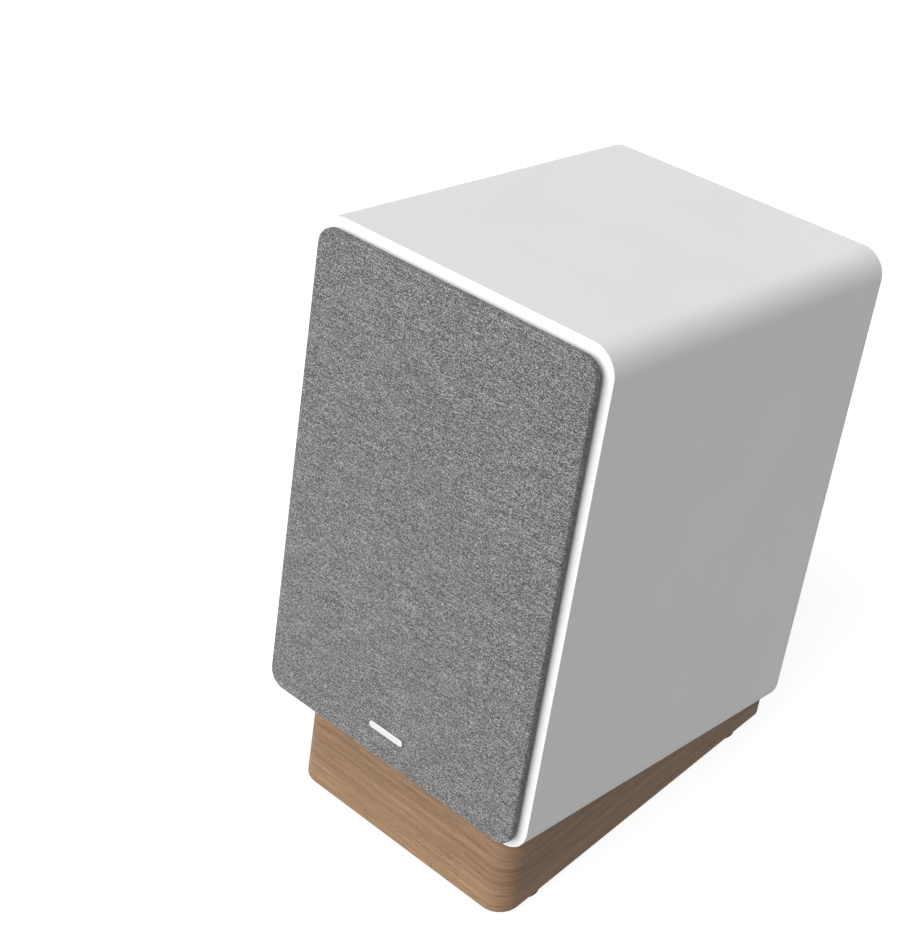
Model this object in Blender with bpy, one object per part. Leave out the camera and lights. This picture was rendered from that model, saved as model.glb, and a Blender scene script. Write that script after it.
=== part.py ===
"""A two-way bookshelf speaker, leaning back on a wedge of veneered wood.

Everything above the stand is modelled square to the cabinet, in cabinet coordinates: millimetres, X to the
right, Y from the front rim (0) to the back, Z up from the cabinet's underside (0). LEAN then tips it back
onto the stand. The finished model stands on Z = 0 with its bounding box centred on X = Y = 0.
"""

import math

import bmesh
import bpy
from mathutils import Matrix, Vector

MM = 0.001
GAP = 0.3  # between pieces that touch

# Cabinet
WIDTH, HEIGHT, DEPTH = 170.0, 255.0, 199.0
CORNER = 13.3
WALL = 12.0
BAFFLE_THICK = 15.0
REAR_RECESS = 3.5
REAR_THICK = 12.0
BRACE_FRONT, BRACE_BACK = 74.0, 83.0
INSIDE = WIDTH / 2 - WALL  # half the width between the side walls
PANEL = INSIDE - GAP  # half the width of a panel that fits between them
REAR_FACE = DEPTH - REAR_RECESS

# Stand
LEAN_ANGLE = math.radians(9.7)
FOOT_HEIGHT = 3.0
RIM_HEIGHT = 59.5  # of the cabinet's lower front edge above the table
STAND_HALF = 71.1
STAND_FRONT, STAND_BACK = 12.25, 213.3
STAND_TOP = -1.6
STAND_CORNER_FRONT, STAND_CORNER_BACK = 12.1, 2.8
STAND_ROUND_OVER = 1.8
STAND_BLOCK = 80.0  # how far down the block reaches that the wedge is cut from
FOOT_RADIUS, FOOT_X = 9.0, 60.7
FOOT_Y = (29.4, 184.6)
DOWEL_RADIUS, DOWEL_RISE, DOWEL_SINK = 4.0, 8.0, 10.0
DOWEL_Y = (60.0, 150.0)

# Grille
GRILLE_MARGIN = 4.25
GRILLE_HALF = WIDTH / 2 - GRILLE_MARGIN
GRILLE_FRONT, GRILLE_STEP = -6.1, -3.0
CLOTH = 0.6
MAGNET_RADIUS, MAGNET_X = 4.0, 65.0
MAGNET_Z = (26.0, 229.0)

# Drivers
WOOFER_Z, WOOFER_RADIUS = 83.0, 64.0
WOOFER_FACE = 2.5
TWEETER_Z, TWEETER_RADIUS = 193.5, 42.0
WOOFER_BORE, TWEETER_BORE = 54.0, 31.0
WOOFER_SCREW_RADIUS, TWEETER_SCREW_RADIUS = 60.6, 36.5
SCREW_HOLE, SCREW_HOLE_DEPTH, SCREW_LENGTH = 1.8, 14.3, 13.0
HORN_RADIUS, HORN_DEPTH, HORN_THROAT = 30.0, 5.2, 12.2
HORN_BEND = math.radians(70)

# Back
PORT_Z, PORT_BORE, PORT_TUBE, PORT_INNER_END = 192.0, 17.5, 20.0, 98.0
TERMINAL_Z, POST_X = 70.0, 13.0

# The bounding box runs from the grille's lower edge to the cabinet's top back edge.
SIN, COS = math.sin(LEAN_ANGLE), math.cos(LEAN_ANGLE)
MOST_FRONT = GRILLE_FRONT * COS + GRILLE_MARGIN * SIN
MOST_BACK = DEPTH * COS + HEIGHT * SIN
Y_SHIFT = -(MOST_FRONT + MOST_BACK) / 2
LEAN = Matrix.Translation(Vector((0, Y_SHIFT, RIM_HEIGHT)) * MM) @ Matrix.Rotation(-LEAN_ANGLE, 4, "X")
UPRIGHT = Matrix.Translation(Vector((0, Y_SHIFT, 0)) * MM)

# name: (linear colour, roughness, metallic)
FINISHES = {
    "white_paint": ((0.80, 0.80, 0.80), 0.35, 0.0),
    "walnut": ((0.36, 0.23, 0.14), 0.5, 0.0),
    "black_plastic": ((0.02, 0.02, 0.02), 0.5, 0.0),
    "black_rubber": ((0.012, 0.012, 0.012), 0.75, 0.0),
    "grey_cloth": ((0.22, 0.22, 0.22), 0.9, 0.0),
    "black_paper": ((0.03, 0.03, 0.03), 0.7, 0.0),
    "silk": ((0.05, 0.05, 0.055), 0.6, 0.0),
    "yellow_cloth": ((0.55, 0.36, 0.12), 0.85, 0.0),
    "black_metal": ((0.03, 0.03, 0.03), 0.4, 1.0),
    "steel": ((0.55, 0.56, 0.57), 0.35, 1.0),
    "brass": ((0.75, 0.55, 0.25), 0.3, 1.0),
    "copper": ((0.72, 0.33, 0.18), 0.35, 1.0),
    "aluminium": ((0.75, 0.75, 0.76), 0.3, 1.0),
    "ferrite": ((0.04, 0.04, 0.045), 0.6, 0.0),
    "red_plastic": ((0.5, 0.02, 0.02), 0.35, 0.0),
    "green_board": ((0.02, 0.14, 0.05), 0.5, 0.0),
    "wadding": ((0.75, 0.75, 0.72), 0.95, 0.0),
    "raw_board": ((0.45, 0.32, 0.2), 0.85, 0.0),
    "beech": ((0.6, 0.42, 0.26), 0.6, 0.0),
}


# ---------------------------------------------------------------- tools


def clear_scene():
    for thing in list(bpy.data.objects):
        bpy.data.objects.remove(thing, do_unlink=True)


def finish_of(name):
    found = bpy.data.materials.get(name)
    if found:
        return found
    colour, roughness, metallic = FINISHES[name]
    material = bpy.data.materials.new(name)
    material.use_nodes = True
    shader = material.node_tree.nodes["Principled BSDF"]
    shader.inputs["Base Color"].default_value = (*colour, 1)
    shader.inputs["Roughness"].default_value = roughness
    shader.inputs["Metallic"].default_value = metallic
    return material


def new_object(name, bm, finish, place=LEAN, origin=(0, 0, 0)):
    """An object from bm, whose coordinates are millimetres about origin, put in the world by place."""
    bmesh.ops.recalc_face_normals(bm, faces=bm.faces)
    bmesh.ops.scale(bm, vec=(MM, MM, MM), verts=bm.verts)
    mesh = bpy.data.meshes.new(name)
    bm.to_mesh(mesh)
    bm.free()
    thing = bpy.data.objects.new(name, mesh)
    bpy.context.collection.objects.link(thing)
    thing.matrix_world = place @ Matrix.Translation(Vector(origin) * MM)
    thing.data.materials.append(finish_of(finish))
    return thing


def rounded_rect(half_x, half_z, radius, steps=8):
    """The points of a rectangle with round corners, anticlockwise, centred on 0."""
    points = []
    for turn, (sx, sz) in enumerate(((1, 1), (-1, 1), (-1, -1), (1, -1))):
        for step in range(steps + 1):
            angle = math.pi / 2 * (turn + step / steps)
            points.append(
                (
                    sx * (half_x - radius) + radius * math.cos(angle),
                    sz * (half_z - radius) + radius * math.sin(angle),
                )
            )
    return points


def add_prism(bm, outline, near, far, centre=(0, 0), axis="Y"):
    """A closed prism over outline, from near to far along Y or Z. Returns its vertices."""
    ends = []
    for depth in (near, far):
        end = []
        for u, v in outline:
            u, v = u + centre[0], v + centre[1]
            end.append(bm.verts.new((u, depth, v) if axis == "Y" else (u, v, depth)))
        ends.append(end)
    first, second = ends
    bm.faces.new(first)
    bm.faces.new(reversed(second))
    for i in range(len(first)):
        j = (i + 1) % len(first)
        bm.faces.new((first[i], second[i], second[j], first[j]))
    return first + second


def prism(outline, near, far, centre=(0, 0), axis="Y"):
    bm = bmesh.new()
    add_prism(bm, outline, near, far, centre, axis)
    return bm


def disc(radius, near, far, centre=(0, 0), steps=24, axis="Y"):
    return prism(circle(radius, steps), near, far, centre, axis)


def circle(radius, steps=24):
    return [
        (radius * math.cos(math.tau * i / steps), radius * math.sin(math.tau * i / steps))
        for i in range(steps)
    ]


def lathe(profile, steps=32):
    """A solid turned about the Y axis from a closed profile of (radius, y) points."""
    bm = bmesh.new()
    loops = []
    for radius, y in profile:
        if radius < 1e-6:
            loops.append([bm.verts.new((0, y, 0))] * steps)
            continue
        loops.append([bm.verts.new((x, y, z)) for x, z in circle(radius, steps)])
    for k, loop in enumerate(loops):
        after = loops[(k + 1) % len(loops)]
        for i in range(steps):
            j = (i + 1) % steps
            corners = list(dict.fromkeys((loop[i], loop[j], after[j], after[i])))
            if len(corners) > 2:
                bm.faces.new(corners)
    return bm


def ring(inner, outer, near, far, steps=32):
    return lathe([(inner, near), (outer, near), (outer, far), (inner, far)], steps)


def arc(centre, radius, start, end, steps):
    """Points on an arc in a profile's (radius, y) plane; angles in degrees."""
    return [
        (
            centre[0] + radius * math.cos(math.radians(start + (end - start) * k / steps)),
            centre[1] + radius * math.sin(math.radians(start + (end - start) * k / steps)),
        )
        for k in range(steps + 1)
    ]


def shell_profile(line, thickness):
    """A closed profile of that thickness behind a line of (radius, y) points."""
    return list(line) + [(r, y + thickness) for r, y in reversed(line)]


def combine(thing, bm, operation, name):
    """Joins bm, a mesh in thing's own millimetre coordinates, to thing or takes it away."""
    tool = new_object(f"{thing.name}_{name}", bm, "steel", thing.matrix_world)
    tool.hide_render = True
    tool.display_type = "WIRE"
    step = thing.modifiers.new(name, "BOOLEAN")
    step.operation = operation
    step.solver = "EXACT"
    step.object = tool


def cut(thing, cutters):
    for index, bm in enumerate(cutters):
        combine(thing, bm, "DIFFERENCE", f"cutter_{index}")


def merged(*meshes):
    """Several separate closed meshes as one cutter."""
    whole = bmesh.new()
    for bm in meshes:
        part = bpy.data.meshes.new("part")
        bm.to_mesh(part)
        bm.free()
        whole.from_mesh(part)
        bpy.data.meshes.remove(part)
    return whole


def on_circle(radius, count, start, middle=0.0):
    """count (x, z) points round a circle whose centre is at height middle, the first at start degrees."""
    angles = [math.radians(start + 360 * i / count) for i in range(count)]
    return [(radius * math.cos(a), middle + radius * math.sin(a)) for a in angles]


def tube_along(name, points, radius, finish):
    """A round lead through points, smoothed, in cabinet coordinates."""
    controls = [Vector(p) for p in points]
    ends = [controls[0] * 2 - controls[1]] + controls + [controls[-1] * 2 - controls[-2]]
    route = []
    for a, b, c, d in zip(ends, ends[1:], ends[2:], ends[3:]):
        for k in range(6):
            t = k / 6
            route.append(
                (b * 2 + (c - a) * t + (a * 2 - b * 5 + c * 4 - d) * t * t
                 + (b * 3 - a - c * 3 + d) * t * t * t) / 2
            )
    route.append(controls[-1])
    curve = bpy.data.curves.new(name, "CURVE")
    curve.dimensions = "3D"
    curve.bevel_depth = radius * MM
    curve.bevel_resolution = 2
    curve.use_fill_caps = True
    spline = curve.splines.new("POLY")
    spline.points.add(len(route) - 1)
    for point, where in zip(spline.points, route):
        point.co = (*(where * MM), 1)
    thing = bpy.data.objects.new(name, curve)
    bpy.context.collection.objects.link(thing)
    thing.matrix_world = LEAN
    curve.materials.append(finish_of(finish))
    return thing


# ---------------------------------------------------------------- cabinet


def cabinet():
    middle = (0, HEIGHT / 2)
    shell = new_object(
        "cabinet_shell", prism(rounded_rect(WIDTH / 2, HEIGHT / 2, CORNER), 0, DEPTH, middle), "white_paint"
    )
    hollow = prism(rounded_rect(INSIDE, HEIGHT / 2 - WALL, 5, 4), -5, DEPTH + 5, middle)
    sockets = merged(*(disc(DOWEL_RADIUS + GAP, -5, DOWEL_RISE + 1, (0, y), 16, "Z") for y in DOWEL_Y))
    cut(shell, [hollow, sockets])

    panel = rounded_rect(PANEL, HEIGHT / 2 - WALL - GAP, 5 - GAP, 4)
    baffle = new_object("front_baffle", prism(panel, 0, BAFFLE_THICK, middle), "white_paint")
    woofer, tweeter = (0, WOOFER_Z), (0, TWEETER_Z)
    screws = on_circle(WOOFER_SCREW_RADIUS, 4, 45, WOOFER_Z)
    screws += on_circle(TWEETER_SCREW_RADIUS, 3, 90, TWEETER_Z)
    cut(
        baffle,
        [
            disc(WOOFER_RADIUS + GAP, -5, WOOFER_FACE + 3 + GAP, woofer, 64),
            disc(WOOFER_BORE, -5, BAFFLE_THICK + 5, woofer, 48),
            disc(TWEETER_RADIUS + GAP, -5, 4.6, tweeter, 48),
            disc(TWEETER_BORE, -5, BAFFLE_THICK + 5, tweeter, 32),
            merged(*(disc(MAGNET_RADIUS + GAP, -5, 3.4, spot, 16) for spot in magnet_spots())),
            merged(*(disc(SCREW_HOLE, 0, SCREW_HOLE_DEPTH, spot, 12) for spot in screws)),
        ],
    )

    rear = new_object("rear_panel", prism(panel, REAR_FACE - REAR_THICK, REAR_FACE, middle), "white_paint")
    cut(
        rear,
        [
            disc(PORT_TUBE + GAP, 150, 220, (0, PORT_Z), 32),
            prism(rounded_rect(27.3, 22.3, 4, 3), 150, 220, (0, TERMINAL_Z)),
        ],
    )

    brace = new_object("window_brace", prism(panel, BRACE_FRONT, BRACE_BACK, middle), "raw_board")
    windows = [
        prism(rounded_rect(50, 44, 14, 5), 60, 100, (0, 76)),
        prism(rounded_rect(50, 38, 14, 5), 60, 100, (0, 184)),
    ]
    cut(brace, [merged(*windows)])


def magnet_spots():
    """Lower left, upper left, lower right, upper right."""
    return [(x, z) for x in (-MAGNET_X, MAGNET_X) for z in MAGNET_Z]


def magnets():
    for corner, spot in zip(("lower_left", "upper_left", "lower_right", "upper_right"), magnet_spots()):
        new_object(f"baffle_magnet_{corner}", disc(MAGNET_RADIUS, GAP, 3.1, spot, 16), "steel")
        new_object(f"grille_magnet_{corner}", disc(MAGNET_RADIUS, -2.5, -0.6, spot, 16), "steel")


def inside():
    """The wadding round the walls, the crossover on the floor and the leads."""
    top = HEIGHT - WALL - GAP
    low, thick = 60, 12
    mat = [
        (-PANEL, low),
        (-PANEL + thick, low),
        (-PANEL + thick, top - thick),
        (PANEL - thick, top - thick),
        (PANEL - thick, low),
        (PANEL, low),
        (PANEL, top - 5),
        (PANEL - 5, top),
        (-PANEL + 5, top),
        (-PANEL, top - 5),
    ]
    new_object("damping_wadding", prism(mat, 90, 178), "wadding")

    floor, board_thick = WALL + GAP, 1.8
    board = prism(rounded_rect(42, 36, 3, 3), floor, floor + board_thick, (0, 128), "Z")
    new_object("crossover_board", board, "green_board")
    deck = floor + board_thick + GAP
    for name, x, y, inner, outer, tall in (
        ("bass_inductor", -20, 142, 8, 18, 18),
        ("treble_inductor", 24, 148, 5, 12, 12),
    ):
        coil = ring(inner, outer, 0, tall, 24)
        bmesh.ops.rotate(coil, cent=(0, 0, 0), matrix=Matrix.Rotation(math.pi / 2, 3, "X"), verts=coil.verts)
        new_object(name, coil, "copper", LEAN, (x, y, deck))
    radius, length = 8, 30
    can = disc(radius, -length / 2, length / 2, steps=20)
    bmesh.ops.rotate(can, cent=(0, 0, 0), matrix=Matrix.Rotation(math.pi / 2, 3, "Z"), verts=can.verts)
    new_object("treble_capacitor", can, "black_plastic", LEAN, (4, 104, deck + radius))

    to_woofer = [(30, 130, 18), (34, 108, 36), (40, 88, 46), (42, 60, 46), (43, 46, 50), (44, 36, 58)]
    to_tweeter = [
        (-38, 128, 18), (-42, 118, 60), (-42, 104, 120), (-40, 90, 160), (-34, 60, 186), (-22, 42, 193),
        (-10, 36.5, 193),
    ]
    tube_along("woofer_lead", to_woofer, 1.6, "black_rubber")
    tube_along("tweeter_lead", to_tweeter, 1.6, "black_rubber")


# ---------------------------------------------------------------- drivers


def screw(name, spot, head, top):
    """A pan-headed wood screw that points back, with the top of its head at depth top."""
    shank = 1.5
    profile = [
        (0, 0), (head * 0.7, 0), (head, head * 0.35), (head, head * 0.5), (shank, head * 0.5),
        (shank, SCREW_LENGTH - 2), (0.4, SCREW_LENGTH), (0, SCREW_LENGTH),
    ]
    new_object(name, lathe(profile, 16), "black_metal", LEAN, (spot[0], top, spot[1]))


def woofer():
    at = (0, 0, WOOFER_Z)
    face = WOOFER_FACE
    pressing = [
        (57.3, face), (64, face), (64, face + 3), (53, face + 3), (50.6, 12), (41.5, 40), (41.5, 46),
        (17, 46), (17, 43.8), (34, 43.8), (34, 40), (39.2, 40), (48.4, 12), (50, 7.2), (50, face + 0.8),
        (57.3, face + 0.8),
    ]
    basket = new_object("woofer_basket", lathe(pressing, 48), "black_metal", LEAN, at)
    windows = []
    for k in range(6):
        slot = prism([(30, 13), (58, 13), (58, 37.5), (30, 37.5)], -13, 13)
        turn = Matrix.Rotation(math.pi / 3 * k, 3, "Y") @ Matrix.Rotation(math.pi / 2, 3, "X")
        bmesh.ops.rotate(slot, cent=(0, 0, 0), matrix=turn.inverted(), verts=slot.verts)
        windows.append(slot)
    holes = [disc(SCREW_HOLE, 0, 9, spot, 12) for spot in on_circle(WOOFER_SCREW_RADIUS, 4, 45)]
    cut(basket, [merged(*windows), merged(*holes)])

    new_object("woofer_top_plate", ring(13.8, 38, 46.3, 51.3), "steel", LEAN, at)
    new_object("woofer_magnet", ring(17, 40, 51.6, 63.6), "ferrite", LEAN, at)
    yoke = [(0, 46), (12.1, 46), (12.1, 63.9), (38, 63.9), (38, 68.9), (0, 68.9)]
    new_object("woofer_yoke", lathe(yoke), "steel", LEAN, at)

    ripple = [(13.6 + k * 0.85, 38.3 + 1.1 * math.cos(k * math.pi / 2)) for k in range(25)]
    flange = [(35.2, 39.2), (38.6, 39.2)]
    new_object("woofer_spider", lathe(shell_profile(ripple + flange, 0.5)), "yellow_cloth", LEAN, at)

    roll = arc((51.0, face), 3.7, 180, 360, 10)
    under = arc((51.0, face), 3.2, 360, 180, 10)
    surround = roll + [(57, face), (57, face + 0.5), (54.4, face + 0.5)] + under[1:]
    new_object("woofer_surround", lathe(surround, 48), "black_rubber", LEAN, at)

    for index, spot in enumerate(on_circle(WOOFER_SCREW_RADIUS, 4, 45, WOOFER_Z), 1):
        screw(f"woofer_screw_{index}", spot, 2.6, face - 1.6)


def cone_depth(radius):
    """How far behind the rim the cone's front face is at that radius."""
    share = (radius - 13.1) / (46.4 - 13.1)
    return 4.0 + 18.0 * (1 - share) ** 1.25


def woofer_moving():
    """What the voice coil drives. Its origin is on the driver's axis."""
    at = (0, 0, WOOFER_Z)
    line = [(46.4 - 33.3 * k / 8, cone_depth(46.4 - 33.3 * k / 8)) for k in range(9)]
    new_object("woofer_cone", lathe(shell_profile(line, 0.8), 48), "black_paper", LEAN, at)
    edge = cone_depth(18.5) - 1.1
    bulge = [(18.5 * math.sin(a), edge - 7 * (math.cos(a))) for a in (k * math.pi / 12 for k in range(7))]
    cap = bulge + [(r, y + 0.7) for r, y in reversed(bulge)]
    new_object("woofer_dust_cap", lathe(cap), "black_paper", LEAN, at)
    new_object("woofer_coil_former", ring(12.5, 12.8, 20, 55), "aluminium", LEAN, at)
    new_object("woofer_voice_coil", ring(12.9, 13.35, 44.3, 53.3), "copper", LEAN, at)


def tweeter():
    at = (0, 0, TWEETER_Z)
    plate = [(TWEETER_RADIUS, GAP), (TWEETER_RADIUS, 4.3), (29, 4.3), (29, 6.5), (HORN_THROAT, 6.5)]
    # The horn starts steep at its throat and flattens out into the face.
    for step in range(6, -1, -1):
        bend = HORN_BEND * step / 6
        reach = (HORN_RADIUS - HORN_THROAT) * math.sin(bend) / math.sin(HORN_BEND)
        sink = HORN_DEPTH * (1 - math.cos(bend)) / (1 - math.cos(HORN_BEND))
        plate.append((HORN_RADIUS - reach, GAP + sink))
    face = new_object("tweeter_faceplate", lathe(plate, 48), "black_plastic", LEAN, at)
    holes = [disc(SCREW_HOLE, -3, 9, spot, 12) for spot in on_circle(TWEETER_SCREW_RADIUS, 3, 90)]
    cut(face, [merged(*holes)])
    for index, spot in enumerate(on_circle(TWEETER_SCREW_RADIUS, 3, 90, TWEETER_Z), 1):
        screw(f"tweeter_screw_{index}", spot, 2.4, GAP - 1.5)

    new_object("tweeter_top_plate", ring(10.4, 24, 7.6, 10), "steel", LEAN, at)
    new_object("tweeter_magnet", ring(12, 25, 10.3, 16.7), "ferrite", LEAN, at)
    yoke = [(0, 8), (9.0, 8), (9.0, 17), (24, 17), (24, 21), (0, 21)]
    new_object("tweeter_yoke", lathe(yoke), "steel", LEAN, at)
    cup = [(27.7, 6.8), (27.7, 34), (0, 34), (0, 32), (25.7, 32), (25.7, 6.8)]
    new_object("tweeter_rear_chamber", lathe(cup), "black_plastic", LEAN, at)


def tweeter_moving():
    """The silk dome and its coil. Their origin is on the driver's axis."""
    at = (0, 0, TWEETER_Z)
    base = 6.0
    dome = [(9.6 * math.sin(a), base - 4.2 * math.cos(a)) for a in (k * math.pi / 12 for k in range(7))]
    roll = arc((10.75, base), 1.15, 180, 360, 5)
    line = dome[:-1] + roll
    new_object("tweeter_dome", lathe(shell_profile(line, 0.5)), "silk", LEAN, at)
    new_object("tweeter_voice_coil", ring(9.3, 9.8, 6.8, 11.5), "copper", LEAN, at)


# ---------------------------------------------------------------- back


def back():
    port = [
        (PORT_BORE, PORT_INNER_END),
        (PORT_TUBE, PORT_INNER_END),
        (PORT_TUBE, REAR_FACE + GAP),
        (29, REAR_FACE + GAP),
        (29, REAR_FACE + GAP + 2.5),
        (25, REAR_FACE + GAP + 2.5),
        (20.5, REAR_FACE + GAP + 1.2),
        (18.2, REAR_FACE - 3),
        (PORT_BORE, REAR_FACE - 9),
    ]
    new_object("port_tube", lathe(port), "black_plastic", LEAN, (0, 0, PORT_Z))

    middle = (0, TERMINAL_Z)
    floor = REAR_FACE - 11.5  # of the recess that the posts stand in
    flange = prism(rounded_rect(36, 30, 5, 4), REAR_FACE + GAP, REAR_FACE + GAP + 2.2, middle)
    cup = new_object("terminal_cup", flange, "black_plastic")
    combine(cup, prism(rounded_rect(27, 22, 4, 4), floor - 2, REAR_FACE + 1.5, middle), "UNION", "box")
    post_holes = [disc(2.6, REAR_FACE - 20, REAR_FACE + 2, (x, TERMINAL_Z), 16) for x in (-POST_X, POST_X)]
    cut(cup, [prism(rounded_rect(25, 20, 3, 4), floor, REAR_FACE + 9, middle), merged(*post_holes)])
    for colour, x in (("red", -POST_X), ("black", POST_X)):
        at = (x, 0, TERMINAL_Z)
        stud = [
            (0, floor - 6), (2.3, floor - 6), (2.3, floor + GAP), (5, floor + GAP), (5, floor + 2.5),
            (2.3, floor + 2.5), (2.3, floor + 15), (0, floor + 15),
        ]
        new_object(f"{colour}_post_stud", lathe(stud, 20), "brass", LEAN, at)
        grip = [
            (2.6, floor + 5), (6, floor + 5), (6.4, floor + 6), (6.4, floor + 18), (5.6, floor + 19.5),
            (0, floor + 19.5), (0, floor + 15.5), (2.6, floor + 15.5),
        ]
        new_object(f"{colour}_post_cap", lathe(grip, 24), f"{colour}_plastic", LEAN, at)


# ---------------------------------------------------------------- grille


def grille():
    middle = (0, HEIGHT / 2)
    half_z = HEIGHT / 2 - GRILLE_MARGIN
    radius = CORNER - GRILLE_MARGIN
    back_of_cloth = GRILLE_FRONT + CLOTH
    outside = prism(rounded_rect(GRILLE_HALF, half_z, radius), GRILLE_FRONT, GRILLE_STEP, middle)
    cloth = new_object("grille_cloth", outside, "grey_cloth")
    tray = prism(rounded_rect(GRILLE_HALF - CLOTH, half_z - CLOTH, radius - CLOTH), back_of_cloth, 5, middle)
    cut(cloth, [tray])

    inset = CLOTH + GAP
    outline = rounded_rect(GRILLE_HALF - inset, half_z - inset, radius - inset)
    rim = prism(outline, back_of_cloth + GAP, GRILLE_STEP, middle)
    frame = new_object("grille_frame", rim, "black_plastic")
    combine(frame, prism(rounded_rect(70, 117, 6), -4, -GAP, middle), "UNION", "step")
    openings = [
        prism(rounded_rect(60, 62.5, 12, 5), -10, 5, (0, 81)),
        prism(rounded_rect(60, 44, 12, 5), -10, 5, (0, 191.5)),
    ]
    pockets = [disc(MAGNET_RADIUS + GAP, -2.8, 5, spot, 16) for spot in magnet_spots()]
    cut(frame, [merged(*openings), merged(*pockets)])
    new_object(
        "grille_badge",
        prism(rounded_rect(11, 1.8, 1.8, 5), GRILLE_FRONT - GAP - 0.6, GRILLE_FRONT - GAP, (0, 21)),
        "aluminium",
    )


# ---------------------------------------------------------------- stand


def stand():
    bm = bmesh.new()
    outline = []
    for sx, y, radius, first in (
        (1, STAND_BACK, STAND_CORNER_BACK, 0),
        (-1, STAND_BACK, STAND_CORNER_BACK, 90),
        (-1, STAND_FRONT, STAND_CORNER_FRONT, 180),
        (1, STAND_FRONT, STAND_CORNER_FRONT, 270),
    ):
        inward = -1 if y == STAND_BACK else 1
        for k in range(9):
            angle = math.radians(first + 90 * k / 8)
            outline.append(
                (
                    sx * (STAND_HALF - radius) + radius * math.cos(angle),
                    y + inward * radius + radius * math.sin(angle),
                )
            )
    add_prism(bm, outline, -STAND_BLOCK, STAND_TOP, axis="Z")
    # The wedge's underside is level with the table once the cabinet leans back.
    below_rim = RIM_HEIGHT - FOOT_HEIGHT
    sliced = bmesh.ops.bisect_plane(
        bm,
        geom=bm.verts[:] + bm.edges[:] + bm.faces[:],
        plane_co=(0, below_rim * SIN, -below_rim * COS),
        plane_no=(0, SIN, -COS),
        clear_outer=True,
    )
    lower_edge = [part for part in sliced["geom_cut"] if isinstance(part, bmesh.types.BMEdge)]
    bmesh.ops.contextual_create(bm, geom=lower_edge)
    bmesh.ops.bevel(bm, geom=lower_edge, offset=STAND_ROUND_OVER, segments=3, profile=0.5, affect="EDGES")
    wedge = new_object("stand_wedge", bm, "walnut")
    bores = [disc(DOWEL_RADIUS + 0.1, STAND_TOP - DOWEL_SINK, 5, (0, y), 16, "Z") for y in DOWEL_Y]
    cut(wedge, [merged(*bores)])

    for place, y in zip(("front", "back"), DOWEL_Y):
        pin = disc(DOWEL_RADIUS, STAND_TOP - DOWEL_SINK + GAP, DOWEL_RISE, (0, y), 16, "Z")
        new_object(f"locating_dowel_{place}", pin, "beech")
    sheet = prism(rounded_rect(62, 86, 4, 3), STAND_TOP + GAP, -GAP, (0, 108), "Z")
    pad = new_object("stand_pad", sheet, "black_rubber")
    passages = [disc(DOWEL_RADIUS + GAP, -9, 5, (0, y), 16, "Z") for y in DOWEL_Y]
    cut(pad, [merged(*passages)])

    for end, y in zip(("front", "back"), FOOT_Y):
        for side, x in (("left", -FOOT_X), ("right", FOOT_X)):
            foot = prism(circle(FOOT_RADIUS), 0, FOOT_HEIGHT - GAP, (x, y), "Z")
            low = [e for e in foot.edges if all(v.co.z < 0.1 for v in e.verts)]
            bmesh.ops.bevel(foot, geom=low, offset=0.7, segments=2, profile=0.5, affect="EDGES")
            new_object(f"foot_{end}_{side}", foot, "black_rubber", UPRIGHT)


def main():
    clear_scene()
    cabinet()
    magnets()
    inside()
    woofer()
    woofer_moving()
    tweeter()
    tweeter_moving()
    back()
    grille()
    stand()


main()
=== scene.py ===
import math

import bmesh
import bpy
from mathutils import Matrix, Vector


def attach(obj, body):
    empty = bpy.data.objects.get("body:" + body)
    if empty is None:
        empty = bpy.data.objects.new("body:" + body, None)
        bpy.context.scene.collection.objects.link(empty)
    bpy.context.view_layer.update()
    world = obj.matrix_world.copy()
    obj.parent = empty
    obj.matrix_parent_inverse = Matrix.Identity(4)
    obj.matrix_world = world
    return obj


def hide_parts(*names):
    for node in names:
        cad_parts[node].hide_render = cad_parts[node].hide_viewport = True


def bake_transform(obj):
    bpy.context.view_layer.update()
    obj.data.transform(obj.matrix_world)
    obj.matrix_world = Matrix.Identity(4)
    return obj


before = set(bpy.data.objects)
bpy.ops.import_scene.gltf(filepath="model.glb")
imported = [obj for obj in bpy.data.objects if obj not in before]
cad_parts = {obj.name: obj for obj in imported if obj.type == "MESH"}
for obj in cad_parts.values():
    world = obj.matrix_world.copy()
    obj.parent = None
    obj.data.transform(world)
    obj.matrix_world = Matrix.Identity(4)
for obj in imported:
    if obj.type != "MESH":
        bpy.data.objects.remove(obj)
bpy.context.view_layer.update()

# ---------------------------------------------------------------- camera
# The speaker is seen from its front right and from above, as it stands on a desk.

camera_data = bpy.data.cameras.new("camera")
camera_data.lens = 73.94
camera_data.sensor_width = 36
camera_data.shift_x = 0.0481
camera_data.shift_y = -0.0368
camera_data.clip_end = 50
camera = bpy.data.objects.new("camera", camera_data)
bpy.context.collection.objects.link(camera)
camera.location = (0.4787, -0.5873, 0.7192)
camera.rotation_euler = [math.radians(turn) for turn in (55.05, -0.22, 44.88)]
bpy.context.scene.camera = camera

# ---------------------------------------------------------------- floor and light
# A plain white table in a bright studio with pale walls all round. One large soft lamp stands in
# front, a little to the left and above, so the front is brightest, then the top, then the sides.

MM = 0.001


def from_hex(code):
    """The linear colour of an sRGB hex value."""
    channels = [int(code[i:i + 2], 16) / 255 for i in (1, 3, 5)]
    return [c / 12.92 if c <= 0.04045 else ((c + 0.055) / 1.055) ** 2.4 for c in channels] + [1.0]


def new_material(name, colour, roughness, metallic=0.0):
    """A material with a Principled shader, and that shader."""
    material = bpy.data.materials.new(name)
    material.use_nodes = True
    shader = material.node_tree.nodes["Principled BSDF"]
    shader.inputs["Base Color"].default_value = from_hex(colour)
    shader.inputs["Roughness"].default_value = roughness
    shader.inputs["Metallic"].default_value = metallic
    return material, shader


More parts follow.
